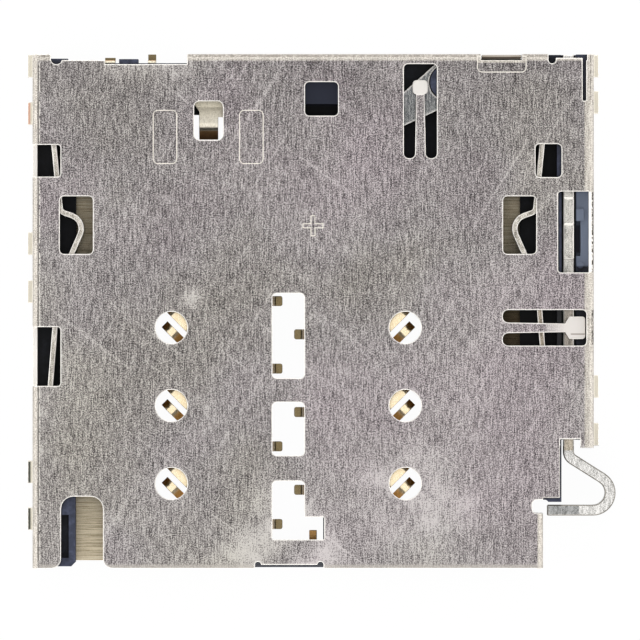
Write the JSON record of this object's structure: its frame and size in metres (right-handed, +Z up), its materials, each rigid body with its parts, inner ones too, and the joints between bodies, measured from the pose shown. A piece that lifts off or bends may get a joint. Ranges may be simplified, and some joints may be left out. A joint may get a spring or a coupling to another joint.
{
  "type": "sim card socket",
  "caption": "Flat tray-type card socket: folded steel cover with windows over sprung contacts, side latches and a pin-operated eject rod and lever.",
  "frame": {"origin": "on the board plane, on the centre line of the tray channel, at mid depth of the cover", "axes": "+Z up from the board, -Y out of the tray mouth, +X to the side of the eject rod"},
  "size_m": [0.0192, 0.0168, 0.0014],
  "materials": {
    "cover_steel": "fine lengthwise grain",
    "plate_steel": "fine crosswise grain",
    "plastic": "dark moulded polymer",
    "gold": "thin gold plating",
    "spring_steel": "bright rolled strip"
  },
  "bodies": {
    "frame": {"shell": "cover_steel", "base_plate": "plate_steel", "housing": "plastic", "contact_c1": "gold", "contact_c2": "gold", "contact_c3": "gold", "contact_c5": "gold", "contact_c6": "gold", "contact_c7": "gold", "detect_spring": "gold", "detect_terminal": "gold"},
    "rod": {"push_rod": "spring_steel"},
    "lever": {"eject_lever": "spring_steel"},
    "left_latch": {"left_latch_spring": "spring_steel"},
    "right_latch": {"right_latch_spring": "spring_steel"}
  },
  "joints": [
    {"name": "rod_slide", "type": "slide", "parent": "frame", "child": "rod", "axis": [0, -1, 0], "range_m": [0, 0.0013]},
    {"name": "lever_turn", "type": "hinge", "parent": "frame", "child": "lever", "pos_m": [0.00486, 0.00747, 0.0006], "axis": [0, 0, -1], "range_deg": [0, 19]},
    {"name": "left_latch_flex", "type": "hinge", "parent": "frame", "child": "left_latch", "pos_m": [-0.00808, -0.00254, 0.00077], "axis": [0, 0, 1], "range_deg": [0, 1.6], "stiffness_Nm_per_rad": 0.05},
    {"name": "right_latch_flex", "type": "hinge", "parent": "frame", "child": "right_latch", "pos_m": [0.00808, -0.00254, 0.00077], "axis": [0, 0, -1], "range_deg": [0, 1.6], "stiffness_Nm_per_rad": 0.05}
  ],
  "couplings": [
    {"joint": "lever_turn", "follows": "rod_slide", "rad_per_m": 254.7}
  ]
}
